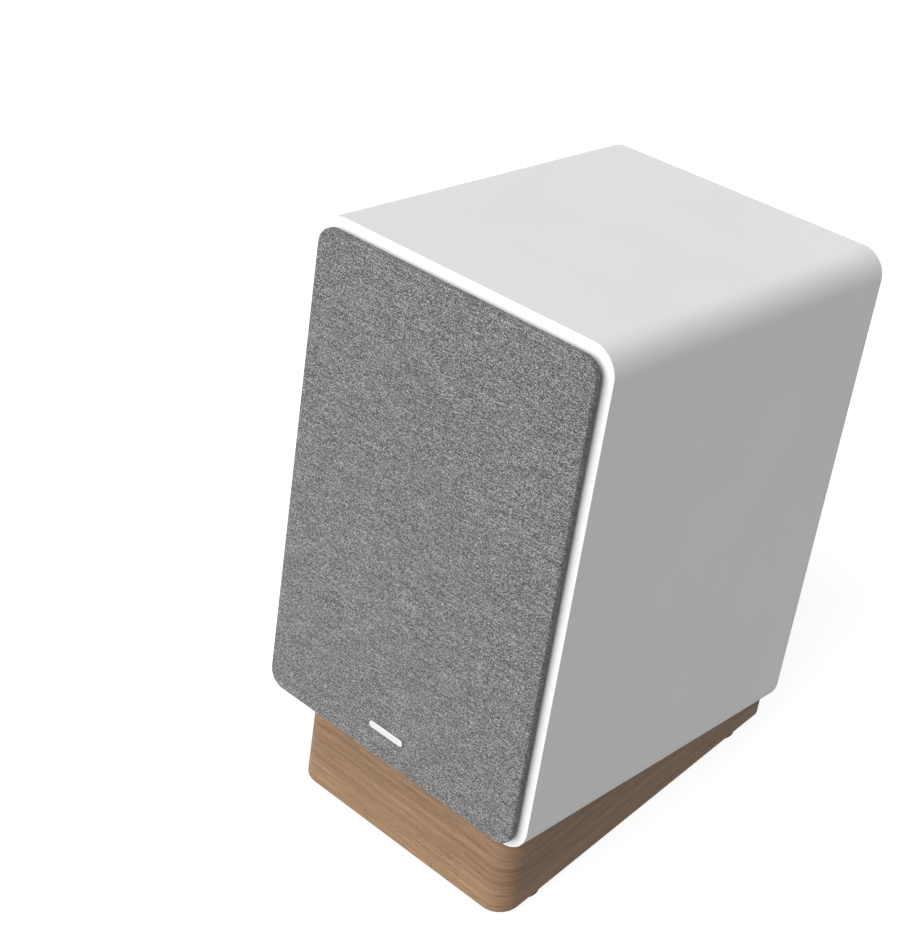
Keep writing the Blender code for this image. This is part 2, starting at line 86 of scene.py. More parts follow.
def add_node(material, kind, inputs=None, **settings):
    """Adds a shader node. Each of its inputs is given a value, or is joined to another node's output."""
    node = material.node_tree.nodes.new("ShaderNode" + kind)
    for setting, value in settings.items():
        setattr(node, setting, value)
    for socket, source in (inputs or {}).items():
        if isinstance(source, bpy.types.NodeSocket):
            material.node_tree.links.new(source, node.inputs[socket])
        else:
            node.inputs[socket].default_value = source
    return node


def noise(material, place, scale, detail, **others):
    """A cloudy pattern. Its scale is in patches to the metre, unless the place is already scaled."""
    return add_node(material, "TexNoise", {"Vector": place, "Scale": scale, "Detail": detail, **others})


def two_tone(material, shader, pattern, low, dark, high, light):
    """Colours a surface by a pattern: dark up to the low value, light from the high one."""
    ramp = add_node(material, "ValToRGB", {"Fac": pattern})
    for element, position, code in zip(ramp.color_ramp.elements, (low, high), (dark, light)):
        element.position, element.color = position, from_hex(code)
    material.node_tree.links.new(ramp.outputs["Color"], shader.inputs["Base Color"])


def emboss(material, shader, height, strength, distance, **settings):
    """Raises a pattern on a surface, by a distance in metres."""
    inputs = {"Height": height, "Strength": strength, "Distance": distance}
    bump = add_node(material, "Bump", inputs, **settings)
    material.node_tree.links.new(bump.outputs[0], shader.inputs["Normal"])


table_top, shader = new_material("white_table", "#808080", 0.7)
shader.inputs["Emission Color"].default_value = from_hex("#ffffff")
shader.inputs["Emission Strength"].default_value = 0.88
bpy.ops.object.select_all(action="DESELECT")
bpy.ops.mesh.primitive_plane_add(size=14)
floor = bpy.context.object
floor.name = "floor"
floor.data.materials.append(table_top)
# The table is lit by the studio, and bounces no light of its own up at the cabinet.
floor.visible_diffuse = False

pale_wall, shader = new_material("pale_wall", "#000000", 1.0)
shader.inputs["Emission Color"].default_value = from_hex("#ffffff")
shader.inputs["Emission Strength"].default_value = 1.0
bpy.ops.object.select_all(action="DESELECT")
bpy.ops.mesh.primitive_uv_sphere_add(segments=64, ring_count=32, radius=6.5)
wall = bpy.context.object
wall.name = "studio_wall"
wall.data.materials.append(pale_wall)
# The walls are only a backdrop: the light comes from the lamp and from all round.
wall.visible_diffuse = False
wall.visible_glossy = False
wall.visible_transmission = False
wall.visible_shadow = False

world = bpy.data.worlds.new("studio")
world.use_nodes = True
world.node_tree.nodes["Background"].inputs["Color"].default_value = from_hex("#ffffff")
world.node_tree.nodes["Background"].inputs["Strength"].default_value = 0.285
bpy.context.scene.world = world
bpy.context.scene.view_settings.view_transform = "Standard"

lamp_data = bpy.data.lights.new("soft_lamp", "SUN")
lamp_data.angle = math.radians(68)
lamp_data.energy = 4.25
lamp = bpy.data.objects.new("soft_lamp", lamp_data)
bpy.context.collection.objects.link(lamp)
lamp.location = (-0.10, -0.76, 0.62)
lamp.rotation_euler = lamp.location.to_track_quat("Z", "Y").to_euler()

# ---------------------------------------------------------------- stand wedge
# The foot of the speaker: a solid wedge of fibreboard, wrapped all round in one band of walnut
# veneer whose grain runs level round the corners. Its top leans back 9.7 degrees, its front
# corners are round, and the lower edge is eased with a round-over.

LEAN_ANGLE = math.radians(9.7)
RIM_SETBACK = -0.1169115  # of the cabinet's lower front edge from the middle of the whole
LEAN = Matrix.Translation((0, RIM_SETBACK, 0.0595)) @ Matrix.Rotation(-LEAN_ANGLE, 4, "X")


def choose(piece):
    """Selects one piece alone and makes it the active one."""
    bpy.ops.object.select_all(action="DESELECT")
    bpy.context.view_layer.objects.active = piece
    piece.select_set(True)


def pick(kind, wanted):
    """Selects, in edit mode, only the vertices, edges or faces that pass a test of their middle."""
    bpy.ops.mesh.select_mode(type=kind)
    bpy.ops.mesh.select_all(action="DESELECT")
    mesh = bmesh.from_edit_mesh(bpy.context.object.data)
    parts = {"VERT": mesh.verts, "EDGE": mesh.edges, "FACE": mesh.faces}[kind]
    for part in parts:
        corners = [part] if kind == "VERT" else part.verts
        middle = sum((v.co for v in corners), Vector()) / len(corners)
        if wanted(middle / MM, part):
            part.select_set(True)
    bmesh.update_edit_mesh(bpy.context.object.data)


def side_number(middle):
    """Which of the 96 sides of a turned piece a vertex starts, counted round from X."""
    return round(math.degrees(math.atan2(middle.y, middle.x)) / 3.75)


def block(name, x, y, z):
    """A box between two values of each of x, y and z, in millimetres."""
    bpy.ops.object.select_all(action="DESELECT")
    bpy.ops.mesh.primitive_cube_add(size=1)
    piece = bpy.context.object
    piece.name = name
    piece.location = [(low + high) / 2 * MM for low, high in (x, y, z)]
    piece.scale = [(high - low) * MM for low, high in (x, y, z)]
    bpy.ops.object.transform_apply(location=True, rotation=False, scale=True)
    return piece


def round_edges(piece, radius, segments, along):
    """Rounds the edges of a box that run along one axis."""
    bpy.ops.object.mode_set(mode="EDIT")
    axis = "XYZ".index(along)

    def runs_along(middle, edge):
        way = edge.verts[1].co - edge.verts[0].co
        return abs(way[axis]) > 0.999 * way.length

    pick("EDGE", runs_along)
    bpy.ops.mesh.bevel(offset=radius * MM, segments=segments, profile=0.5, affect="EDGES")
    bpy.ops.object.mode_set(mode="OBJECT")


def set_down(piece, place=LEAN):
    """Puts a piece in its place in the speaker, and keeps the place in its mesh."""
    choose(piece)
    piece.matrix_world = place @ piece.matrix_world
    bpy.ops.object.transform_apply(location=True, rotation=True, scale=True)


def soften(piece, width, segments=2, angle=35):
    """Eases the sharp edges of a piece and shades the rest smooth."""
    choose(piece)
    if width:
        edge = piece.modifiers.new("eased_edges", "BEVEL")
        edge.width = width * MM
        edge.segments = segments
        edge.limit_method = "ANGLE"
        edge.angle_limit = math.radians(angle)
        bpy.ops.object.modifier_apply(modifier=edge.name)
    bpy.ops.object.shade_smooth_by_angle(angle=math.radians(angle))
    if width:
        flat = piece.modifiers.new("flat_faces_shade_flat", "WEIGHTED_NORMAL")
        flat.keep_sharp = True
        bpy.ops.object.modifier_apply(modifier=flat.name)


def combine(piece, other, operation):
    """Applies another piece to this one as a Boolean, and takes the other away."""
    choose(piece)
    change = piece.modifiers.new("change", "BOOLEAN")
    change.operation = operation
    change.solver = "EXACT"
    change.object = other
    bpy.ops.object.modifier_apply(modifier=change.name)
    bpy.data.objects.remove(other)


def cut_out(piece, cutter):
    """Takes the shape of the cutter out of a piece."""
    combine(piece, cutter, "DIFFERENCE")


def thicken(piece, name, thickness, offset):
    """Makes a sheet solid. The offset is 1 or -1 for one side of it, and 0 for both."""
    sheet = piece.modifiers.new(name, "SOLIDIFY")
    sheet.thickness = thickness * MM
    sheet.offset = offset
    bpy.ops.object.modifier_apply(modifier=sheet.name)


def turned(name, profile, centre=(0, 0, 0), along="Y", sides=96, closed=True):
    """A solid of rings of (radius, distance along its axis) in millimetres, each drawn from the last."""
    bpy.ops.object.select_all(action="DESELECT")
    rings = [(max(radius, 0.01), reach) for radius, reach in profile]
    bpy.ops.mesh.primitive_circle_add(vertices=sides, radius=rings[0][0] * MM)
    piece = bpy.context.object
    piece.name = name
    bpy.ops.object.mode_set(mode="EDIT")
    bpy.ops.mesh.select_all(action="SELECT")
    bpy.ops.transform.translate(value=(0, 0, rings[0][1] * MM))
    for (radius, reach), (next_radius, next_reach) in zip(rings, rings[1:]):
        bpy.ops.mesh.extrude_region_move(TRANSFORM_OT_translate={"value": (0, 0, (next_reach - reach) * MM)})
        share = next_radius / radius
        bpy.ops.transform.resize(value=(share, share, 1), center_override=(0, 0, 0))
    if closed and rings[0][0] > 0.01:
        bpy.ops.mesh.select_non_manifold()
        bpy.ops.mesh.bridge_edge_loops()
    bpy.ops.mesh.select_all(action="SELECT")
    bpy.ops.mesh.remove_doubles(threshold=0.03 * MM)
    bpy.ops.mesh.normals_make_consistent(inside=False)
    bpy.ops.object.mode_set(mode="OBJECT")
    facing = {"Y": Matrix.Rotation(-math.pi / 2, 4, "X"), "Z": Matrix.Identity(4)}
    facing["X"] = Matrix.Rotation(math.pi / 2, 4, "Y")
    piece.matrix_world = Matrix.Translation(Vector(centre) * MM) @ facing[along]
    return piece


def fit(piece, material, body, nodes):
    """Gives a piece its finish, and joins it to the body that carries it."""
    piece.data.materials.clear()
    piece.data.materials.append(material)
    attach(piece, body)
    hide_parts(*nodes)


wedge = block("veneered_wedge", (-71.1, 71.1), (12.25, 213.3), (-80, -1.6))
bpy.ops.object.mode_set(mode="EDIT")
pick("EDGE", lambda middle, edge: middle.y < 13 and abs(middle.x) > 70)
bpy.ops.mesh.bevel(offset=12.1 * MM, segments=18, profile=0.5, affect="EDGES")
pick("EDGE", lambda middle, edge: middle.y > 213 and abs(middle.x) > 70)
bpy.ops.mesh.bevel(offset=2.8 * MM, segments=6, profile=0.5, affect="EDGES")
bpy.ops.object.mode_set(mode="OBJECT")
for y in (60, 150):
    cut_out(wedge, turned("dowel_bore", [(0, -11.6), (4.1, -11.6), (4.1, 5), (0, 5)], (0, y, 0), "Z", 48))
set_down(wedge)
bpy.ops.object.mode_set(mode="EDIT")
bpy.ops.mesh.select_all(action="SELECT")
bpy.ops.mesh.bisect(plane_co=(0, 0, 0.003), plane_no=(0, 0, 1), use_fill=True, clear_inner=True)
pick("EDGE", lambda middle, edge: abs(middle.z - 3) < 0.01)
bpy.ops.mesh.bevel(offset=1.8 * MM, segments=5, profile=0.5, affect="EDGES")
bpy.ops.object.mode_set(mode="OBJECT")
soften(wedge, 0.25, 2, 40)

# Walnut veneer under a thin matt oil: a soft brown of fine level fibres, with broad paler and
# darker bands, and faint pores a few millimetres long. It is painted paler low down, as painted
# light from below. The grain is level, so every pattern is long in X and Y and short in Z.
walnut, shader = new_material("oiled_walnut_veneer", "#876a4f", 0.55)
shader.inputs["Specular IOR Level"].default_value = 0.22
place = add_node(walnut, "TexCoord").outputs["Object"]
sway = noise(walnut, place, 9.0, 2.0)
bend = add_node(walnut, "VectorMath", {0: sway.outputs["Color"], 1: (0.0, 0.0, 0.012)}, operation="MULTIPLY")
swayed = add_node(walnut, "VectorMath", {0: place, 1: bend.outputs[0]}, operation="ADD").outputs[0]
# Growth bands some 3 mm high and 120 mm long.
band_way = add_node(walnut, "Mapping", {"Vector": swayed, "Scale": (8.0, 8.0, 330.0)}).outputs[0]
bands = noise(walnut, band_way, 1.0, 3.0, Roughness=0.6)
# Streaks of fibres 1 mm high and 25 mm long.
fibre_way = add_node(walnut, "Mapping", {"Vector": swayed, "Scale": (40.0, 40.0, 1000.0)}).outputs[0]
fibres = noise(walnut, fibre_way, 1.0, 5.0, Roughness=0.8)
# Closed pores, faint dashes about 5 mm long.
pore_way = add_node(walnut, "Mapping", {"Vector": swayed, "Scale": (190.0, 190.0, 2600.0)}).outputs[0]
pores = noise(walnut, pore_way, 1.0, 1.0)
pore_edge = add_node(walnut, "MapRange", {"Value": pores.outputs["Fac"], "From Min": 0.34, "From Max": 0.28})
band_colour = add_node(walnut, "ValToRGB", {"Fac": bands.outputs["Fac"]})
ramp = band_colour.color_ramp
ramp.elements[0].position, ramp.elements[0].color = 0.30, from_hex("#785b44")
ramp.elements[1].position, ramp.elements[1].color = 0.72, from_hex("#927459")
middle_tone = ramp.elements.new(0.5)
middle_tone.color = from_hex("#846952")
# Painted light from below: along the lower edge the veneer is painted paler and yellower, as if
# lit by light bounced up off the table.
height = add_node(walnut, "SeparateXYZ", {"Vector": swayed}).outputs["Z"]
underlight_mask = add_node(walnut, "MapRange", {"Value": height, "From Min": 0.030, "From Max": 0.014}).outputs[0]
painted_underlight_tint = add_node(
    walnut, "Mix", {"Factor": underlight_mask, 6: (1.0, 1.0, 1.0, 1.0), 7: (1.12, 1.13, 1.09, 1.0)}, data_type="RGBA"
).outputs[2]
fibre_tone = add_node(
    walnut, "MapRange",
    {"Value": fibres.outputs["Fac"], "From Min": 0.3, "From Max": 0.7, "To Min": 0.66, "To Max": 1.29},
).outputs[0]
band_tone = band_colour.outputs["Color"]
# The band colour is multiplied by the painted light from below along the lower edge.
toned = add_node(walnut, "VectorMath", {0: band_tone, 1: painted_underlight_tint}, operation="MULTIPLY").outputs[0]
grained = add_node(walnut, "VectorMath", {0: toned, 1: fibre_tone}, operation="MULTIPLY").outputs[0]
with_pores = add_node(
    walnut, "Mix", {"Factor": pore_edge.outputs[0], 6: grained, 7: from_hex("#5c442f")}, data_type="RGBA"
).outputs[2]
walnut.node_tree.links.new(with_pores, shader.inputs["Base Color"])
rough = add_node(walnut, "MapRange", {"Value": fibres.outputs["Fac"], "To Min": 0.48, "To Max": 0.62})
walnut.node_tree.links.new(rough.outputs[0], shader.inputs["Roughness"])
relief = add_node(walnut, "Math", {0: fibres.outputs["Fac"], 1: pore_edge.outputs[0]}, operation="SUBTRACT")
emboss(walnut, shader, relief.outputs[0], 0.3, 0.00006)
fit(wedge, walnut, "stand", ["stand_wedge"])

# ---------------------------------------------------------------- feet
# Four round feet of black moulded rubber, glued under the wedge. The lower
# edge is rounded, and a shallow ring on the tread lets the foot grip the table.

rubber, shader = new_material("moulded_rubber", "#0f0f10", 0.82)
place = add_node(rubber, "TexCoord").outputs["Object"]
grain = noise(rubber, place, 1800.0, 3.0)
bloom = noise(rubber, place, 120.0, 4.0)
two_tone(rubber, shader, bloom.outputs["Fac"], 0.3, "#0b0b0c", 0.75, "#141415")
shader.inputs["Specular IOR Level"].default_value = 0.08
emboss(rubber, shader, grain.outputs["Fac"], 0.4, 0.00005)

foot_rings = [(0, 0.35), (3.2, 0.35), (3.6, 0.0), (4.8, 0.0), (5.2, 0.3), (5.6, 0.0), (8.2, 0.0), (8.6, 0.1)]
foot_rings += [(8.85, 0.3), (9.0, 0.75), (9.0, 2.7), (0, 2.7)]
for node, x, y in (
    ("foot_front_left", -60.7, 29.4),
    ("foot_front_right", 60.7, 29.4),
    ("foot_back_left", -60.7, 184.6),
    ("foot_back_right", 60.7, 184.6),
):
    foot = turned("rubber_" + node, foot_rings, (x, y, 0), "Z", 64)
    set_down(foot, Matrix.Translation((0, RIM_SETBACK, 0)))
    soften(foot, 0)
    fit(foot, rubber, "stand", [node])

# ---------------------------------------------------------------- stand pad and dowels
# A thin ribbed rubber pad on the wedge keeps the lacquer from being marked. Two beech dowels are
# glued in the wedge and slide into the cabinet's sockets. They are fluted to let the glue out.


def grainy(name, dark, light, grain, roughness, relief=0.02, metallic=0.0):
    """A mottled finish. grain is the size in millimetres of its specks, and relief their height."""
    material, shader = new_material(name, light, roughness, metallic)
    place = add_node(material, "TexCoord").outputs["Object"]
    specks = noise(material, place, 1000 / grain, 3.0)
    clouds = noise(material, place, 60.0, 4.0)
    both = add_node(material, "Math", {0: specks.outputs["Fac"], 1: clouds.outputs["Fac"]}, operation="ADD")
    half = add_node(material, "Math", {0: both.outputs[0], 1: 0.5}, operation="MULTIPLY")
    two_tone(material, shader, half.outputs[0], 0.35, dark, 0.65, light)
    worn = add_node(
        material, "MapRange",
        {"Value": clouds.outputs["Fac"], "To Min": roughness - 0.07, "To Max": roughness + 0.07},
    )
    material.node_tree.links.new(worn.outputs[0], shader.inputs["Roughness"])
    emboss(material, shader, specks.outputs["Fac"], 0.5, relief * MM)
    return material


pad = block("ribbed_pad", (-62, 62), (22, 194), (-1.3, -0.3))
round_edges(pad, 4, 8, "Z")
for y in (60, 150):
    cut_out(pad, turned("dowel_hole", [(0, -3), (4.3, -3), (4.3, 2), (0, 2)], (0, y, 0), "Z", 48))
soften(pad, 0.2, 2, 40)
set_down(pad)
# Ribs 2 mm apart run across the pad.
ribbed_rubber, shader = new_material("ribbed_rubber_sheet", "#1c1c1d", 0.8)
place = add_node(ribbed_rubber, "TexCoord").outputs["Object"]
ribs = add_node(ribbed_rubber, "TexWave", {"Vector": place, "Scale": 157.0}, bands_direction="Y")
dust = noise(ribbed_rubber, place, 200.0, 5.0)
two_tone(ribbed_rubber, shader, dust.outputs["Fac"], 0.35, "#171718", 0.75, "#2a2a2b")
emboss(ribbed_rubber, shader, ribs.outputs["Fac"], 0.8, 0.0002)
fit(pad, ribbed_rubber, "stand", ["stand_pad"])

# Steamed beech: pale pinkish brown, with short darker rays along the pin.
beech, shader = new_material("steamed_beech", "#c9a27c", 0.55)
place = add_node(beech, "TexCoord").outputs["Object"]
along = add_node(
    beech, "Mapping",
    {"Vector": place, "Rotation": (LEAN_ANGLE, 0, 0), "Scale": (2200, 2200, 450)},
)
rays = noise(beech, along.outputs[0], 1.0, 3.0)
two_tone(beech, shader, rays.outputs["Fac"], 0.34, "#a97f5a", 0.55, "#d3ae88")
emboss(beech, shader, rays.outputs["Fac"], 0.4, 0.00006)

pin_rings = [(0, -11.3), (3.2, -11.3), (4, -10.3), (4, 7.0), (3.2, 8), (0, 8)]
for node, y in (("locating_dowel_front", 60), ("locating_dowel_back", 150)):
    pin = turned("fluted_" + node, pin_rings, (0, 0, 0), "Z", 96)
    bpy.ops.object.mode_set(mode="EDIT")
    pick("VERT", lambda middle, v: middle.xy.length > 3.9 and side_number(middle) % 6 == 0)
    bpy.ops.transform.resize(value=(0.93, 0.93, 1), center_override=(0, 0, 0))
    bpy.ops.object.mode_set(mode="OBJECT")
    pin.location.y = y * MM
    set_down(pin)
    soften(pin, 0)
    fit(pin, beech, "stand", [node])

# ---------------------------------------------------------------- cabinet shell
# A box of 12 mm fibreboard bent round its four long edges, primed, sanded and sprayed with a
# satin white lacquer. The front and back rims are cut square and only just eased.

shell = block("lacquered_shell", (-85, 85), (0, 199), (0, 255))
round_edges(shell, 13.3, 24, "Y")
hollow = block("hollow", (-73, 73), (-5, 204), (12, 243))
round_edges(hollow, 5, 10, "Y")
cut_out(shell, hollow)
for y in (60, 150):
    cut_out(shell, turned("dowel_socket", [(0, -5), (4.3, -5), (4.3, 9), (0, 9)], (0, y, 0), "Z", 48))
soften(shell, 0.45, 3, 40)
set_down(shell)

# Satin lacquer: nearly white, an even sheen, and a faint ripple left by the spray gun, 2 mm across.
lacquer, shader = new_material("satin_white_lacquer", "#e8e8e7", 0.55)
shader.inputs["Specular IOR Level"].default_value = 0.3
place = add_node(lacquer, "TexCoord").outputs["Object"]
ripple = noise(lacquer, place, 500.0, 1.0)
cloud = noise(lacquer, place, 14.0, 3.0)
two_tone(lacquer, shader, cloud.outputs["Fac"], 0.3, "#e6e6e5", 0.7, "#eaeae9")
sheen = add_node(lacquer, "MapRange", {"Value": cloud.outputs["Fac"], "To Min": 0.5, "To Max": 0.6})
lacquer.node_tree.links.new(sheen.outputs[0], shader.inputs["Roughness"])
emboss(lacquer, shader, ripple.outputs["Fac"], 0.15, 0.00002)
fit(shell, lacquer, "cabinet", ["cabinet_shell"])

# ---------------------------------------------------------------- front baffle and rear panel
# Two panels of fibreboard glued between the cabinet's walls and sprayed with them. The drivers sit
# in turned rebates in the front one, and the magnets of the grille in four shallow pockets.

def bore(radius, near, far, x, z, sides=96):
    """A round cutter that runs front to back."""
    return turned("bore", [(0, near), (radius, near), (radius, far), (0, far)], (x, 0, z), "Y", sides)


MAGNET_SPOTS = {
    "lower_left": (-65, 26),
    "lower_right": (65, 26),
    "upper_left": (-65, 229),
    "upper_right": (65, 229),
}


def screw_circle(radius, count, start, height):
    """The X and Z of screws evenly spaced round a driver, the first at an angle in degrees."""
    angles = [math.radians(start + 360 / count * k) for k in range(count)]
    return [(radius * math.cos(a), height + radius * math.sin(a)) for a in angles]


WOOFER_SPOTS = screw_circle(60.6, 4, 45, 83)
TWEETER_SPOTS = screw_circle(36.5, 3, 90, 193.5)

baffle = block("lacquered_baffle", (-72.7, 72.7), (0, 15), (12.3, 242.7))
round_edges(baffle, 4.7, 10, "Y")
cut_out(baffle, bore(64.3, -5, 5.8, 0, 83, 128))
cut_out(baffle, bore(54, 2, 20, 0, 83, 128))
cut_out(baffle, bore(42.3, -5, 4.6, 0, 193.5, 128))
cut_out(baffle, bore(31, 2, 20, 0, 193.5))
for x, z in MAGNET_SPOTS.values():
    cut_out(baffle, bore(4.3, -5, 3.4, x, z, 48))
for x, z in WOOFER_SPOTS + TWEETER_SPOTS:
    cut_out(baffle, bore(1.8, 2, 14.3, x, z, 24))
soften(baffle, 0.3, 2, 50)
set_down(baffle)
fit(baffle, lacquer, "cabinet", ["front_baffle"])

rear = block("lacquered_rear_panel", (-72.7, 72.7), (183.5, 195.5), (12.3, 242.7))
round_edges(rear, 4.7, 10, "Y")
cut_out(rear, bore(20.3, 170, 210, 0, 192))
cup_hole = block("cup_hole", (-27.3, 27.3), (170, 210), (47.7, 92.3))
round_edges(cup_hole, 4, 8, "Y")
cut_out(rear, cup_hole)
soften(rear, 0.3, 2, 50)
set_down(rear)
fit(rear, lacquer, "cabinet", ["rear_panel"])

# ---------------------------------------------------------------- window brace
# A frame of raw fibreboard glued half way back. It stiffens the walls and is never painted.

brace = block("window_brace_board", (-72.7, 72.7), (74, 83), (12.3, 242.7))
round_edges(brace, 4.7, 8, "Y")
for low, high in ((32, 120), (146, 222)):
    window = block("window", (-50, 50), (60, 100), (low, high))
    round_edges(window, 14, 12, "Y")
    cut_out(brace, window)
soften(brace, 0.3, 2, 50)
set_down(brace)
fibreboard = grainy("raw_fibreboard", "#8d6a48", "#b8946c", 0.7, 0.88, 0.06)
fit(brace, fibreboard, "cabinet", ["window_brace"])

# ---------------------------------------------------------------- grille magnets
# Nickel-plated neodymium discs, 8 mm across: four in the baffle, and four in the grille's frame.

nickel = grainy("bright_nickel_plate", "#b9b6ae", "#d2cfc6", 0.4, 0.24, 0.003, 1.0)
for corner, (x, z) in MAGNET_SPOTS.items():
    for side, body, near, far in (("baffle", "cabinet", 0.3, 3.1), ("grille", "grille", -2.5, -0.6)):
        rings = [(0, near), (3.7, near), (4, near + 0.3), (4, far - 0.3), (3.7, far), (0, far)]
        disc = turned(f"nickel_{side}_disc_{corner}", rings, (x, 0, z), "Y", 64)
        set_down(disc)
        soften(disc, 0)
        fit(disc, nickel, body, [f"{side}_magnet_{corner}"])

# ---------------------------------------------------------------- wadding
# A sheet of bonded polyester fibre, 12 mm thick, tucked round the walls behind the brace. It is
# springy, uneven and matt, with loose fibres on its faces.

wadding = block("polyester_wadding", (-71.7, 71.7), (91, 177), (61, 241.7))
round_edges(wadding, 6, 6, "Y")
inner = block("inner", (-61.7, 61.7), (80, 190), (50, 231.7))
cut_out(wadding, inner)
lumps = wadding.modifiers.new("small_cells", "REMESH")
lumps.mode = "VOXEL"
lumps.voxel_size = 2.5 * MM
bpy.ops.object.modifier_apply(modifier=lumps.name)
fluff = bpy.data.textures.new("fluff", "CLOUDS")
fluff.noise_scale = 0.012
puff = wadding.modifiers.new("puffs", "DISPLACE")
puff.texture = fluff
puff.strength = 2.4 * MM
puff.mid_level = 0.75
bpy.ops.object.modifier_apply(modifier=puff.name)
bpy.ops.object.shade_smooth()
set_down(wadding)
fibre = grainy("bonded_polyester_fibre", "#c9c8c2", "#efeeea", 0.9, 0.95, 0.5)
fit(wadding, fibre, "cabinet", ["damping_wadding"])

# ---------------------------------------------------------------- crossover
# A small circuit board screwed to the cabinet's floor. It carries two air-cored coils of enamelled
# copper wire and a capacitor in a black sleeve, and splits the signal for the two drivers.

board = block("circuit_board", (-42, 42), (92, 164), (12.3, 14.1))
round_edges(board, 3, 6, "Z")
soften(board, 0.1, 1, 50)
set_down(board)
# Green solder mask over copper tracks 2 mm wide, which show paler and stand up a little.
mask, shader = new_material("green_solder_mask", "#1d5b34", 0.3)
place = add_node(mask, "TexCoord").outputs["Object"]
upright = add_node(mask, "Mapping", {"Vector": place, "Rotation": (LEAN_ANGLE, 0, 0), "Scale": (95, 95, 1)})
cells = add_node(
    mask, "TexVoronoi",
    {"Vector": upright.outputs[0], "Scale": 1.0},
    feature="DISTANCE_TO_EDGE",
    distance="EUCLIDEAN",
)
track = add_node(mask, "MapRange", {"Value": cells.outputs["Distance"], "From Min": 0.10, "From Max": 0.13})
coat = add_node(
    mask, "Mix",
    {"Factor": track.outputs[0], 6: from_hex("#2f7a49"), 7: from_hex("#174a2a")},
    data_type="RGBA",
)
mask.node_tree.links.new(coat.outputs[2], shader.inputs["Base Color"])
emboss(mask, shader, track.outputs[0], 0.5, 0.00005, invert=True)
fit(board, mask, "cabinet", ["crossover_board"])

enamel_wire = grainy("enamelled_copper_wire", "#8e4523", "#c46f3f", 0.5, 0.3, 0.01, 1.0)
for node, x, y, inside, outside, tall, turns in (
    ("bass_inductor", -20, 142, 8, 18, 18, 14),
    ("treble_inductor", 24, 148, 5, 12, 12, 12),
):
    pitch = (tall - 1) / turns
    rings = [(inside, 0), (outside - 0.6, 0)]
    for turn in range(turns):
        for step in range(5):
            swell = math.sin(math.pi * step / 5)
            rings.append((outside - 0.5 + 0.5 * swell, 0.5 + pitch * (turn + step / 5)))
    rings += [(outside - 0.6, tall), (inside, tall)]
    coil = turned("wound_" + node, rings, (x, y, 14.4), "Z", 64)
    set_down(coil)
    soften(coil, 0, 1, 60)
    fit(coil, enamel_wire, "cabinet", [node])

sleeve = grainy("shrunk_black_sleeve", "#121213", "#1e1e20", 1.2, 0.35, 0.01)
can_rings = [(0, -14.6), (5.6, -14.6), (6.0, -15), (7.2, -15), (8, -14.2), (8, 10.6)]
can_rings += [(7.4, 11.4), (7.4, 12.4), (8, 13.2), (8, 14.2), (7.2, 15), (6.4, 15), (6.0, 14.5), (0, 14.5)]
can = turned("sleeved_capacitor", can_rings, (4, 104, 22.4), "X", 64)
set_down(can)
soften(can, 0.2, 2, 40)
fit(can, sleeve, "cabinet", ["treble_capacitor"])

# ---------------------------------------------------------------- driver leads
# Each lead is a twisted pair of stranded copper in thin PVC, one core red and one black, soldered
# to the board and pushed on the driver's tags.

red_core = grainy("red_pvc", "#8e1512", "#a81c18", 2.0, 0.38, 0.005)
black_core = grainy("black_pvc", "#141415", "#1e1e1f", 2.0, 0.38, 0.005)


def smooth_route(points, steps):
    """Points on one smooth curve that passes through all of the given ones."""
    controls = [Vector(point) for point in points]
    ends = [controls[0] * 2 - controls[1]] + controls + [controls[-1] * 2 - controls[-2]]
    route = []
    for a, b, c, d in zip(ends, ends[1:], ends[2:], ends[3:]):
        for step in range(steps):
            t = step / steps
            bend = (a * 2 - b * 5 + c * 4 - d) * t * t + (b * 3 - a - c * 3 + d) * t * t * t
            route.append((b * 2 + (c - a) * t + bend) / 2)
    return route + [controls[-1]]


def core(name, route, start, material):
    """One core of a twisted pair along a route, as a mesh. The pair makes a turn every 16 mm."""
    bpy.ops.object.select_all(action="DESELECT")
    curve = bpy.data.curves.new(name, "CURVE")
    curve.dimensions = "3D"
    curve.bevel_depth = 0.76 * MM
    curve.bevel_resolution = 3
    curve.use_fill_caps = True
    spline = curve.splines.new("POLY")
    spline.points.add(len(route) - 1)
    gone = 0.0
    for index, point in enumerate(route):
        ahead = route[min(index + 1, len(route) - 1)] - route[max(index - 1, 0)]
        gone += (point - route[max(index - 1, 0)]).length
        side = ahead.cross(Vector((0.3, 0.2, 1))).normalized()
        other = ahead.cross(side).normalized()
        angle = start + math.tau * gone / 16
        where = point + (side * math.cos(angle) + other * math.sin(angle)) * 0.8
        spline.points[index].co = (*(where * MM), 1)
    piece = bpy.data.objects.new(name, curve)
    bpy.context.collection.objects.link(piece)
    bpy.context.view_layer.objects.active = piece
    piece.select_set(True)
    bpy.ops.object.convert(target="MESH")
    piece = bpy.context.object
    bpy.ops.object.shade_smooth()
    piece.data.materials.append(material)
    return piece


for node, points in (
    ("woofer_lead", [(30, 130, 18), (34, 108, 36), (40, 88, 46), (42, 60, 46), (43, 46, 50), (44, 36, 58)]),
    (
        "tweeter_lead",
        [
            (-38, 128, 18), (-42, 118, 60), (-42, 104, 120), (-40, 90, 160), (-34, 60, 186),
            (-22, 42, 193), (-10, 36.5, 193),
        ],
    ),
):
    route = smooth_route(points, 16)
    red = core("twisted_" + node, route, 0, red_core)
    black = core("black_" + node, route, math.pi, black_core)
    bpy.ops.object.select_all(action="DESELECT")
    black.select_set(True)
    red.select_set(True)
    bpy.context.view_layer.objects.active = red
    bpy.ops.object.join()
    set_down(red)
    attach(red, "cabinet")
    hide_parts(node)

# ---------------------------------------------------------------- woofer
# A 128 mm bass driver. A pressed steel basket with six windows, powder-coated black, holds a ring
# magnet between two zinc-plated plates. The cone of black paper pulp hangs from a rubber half-roll
# in front and a corrugated cloth spider behind, and a coil on an aluminium former drives it.

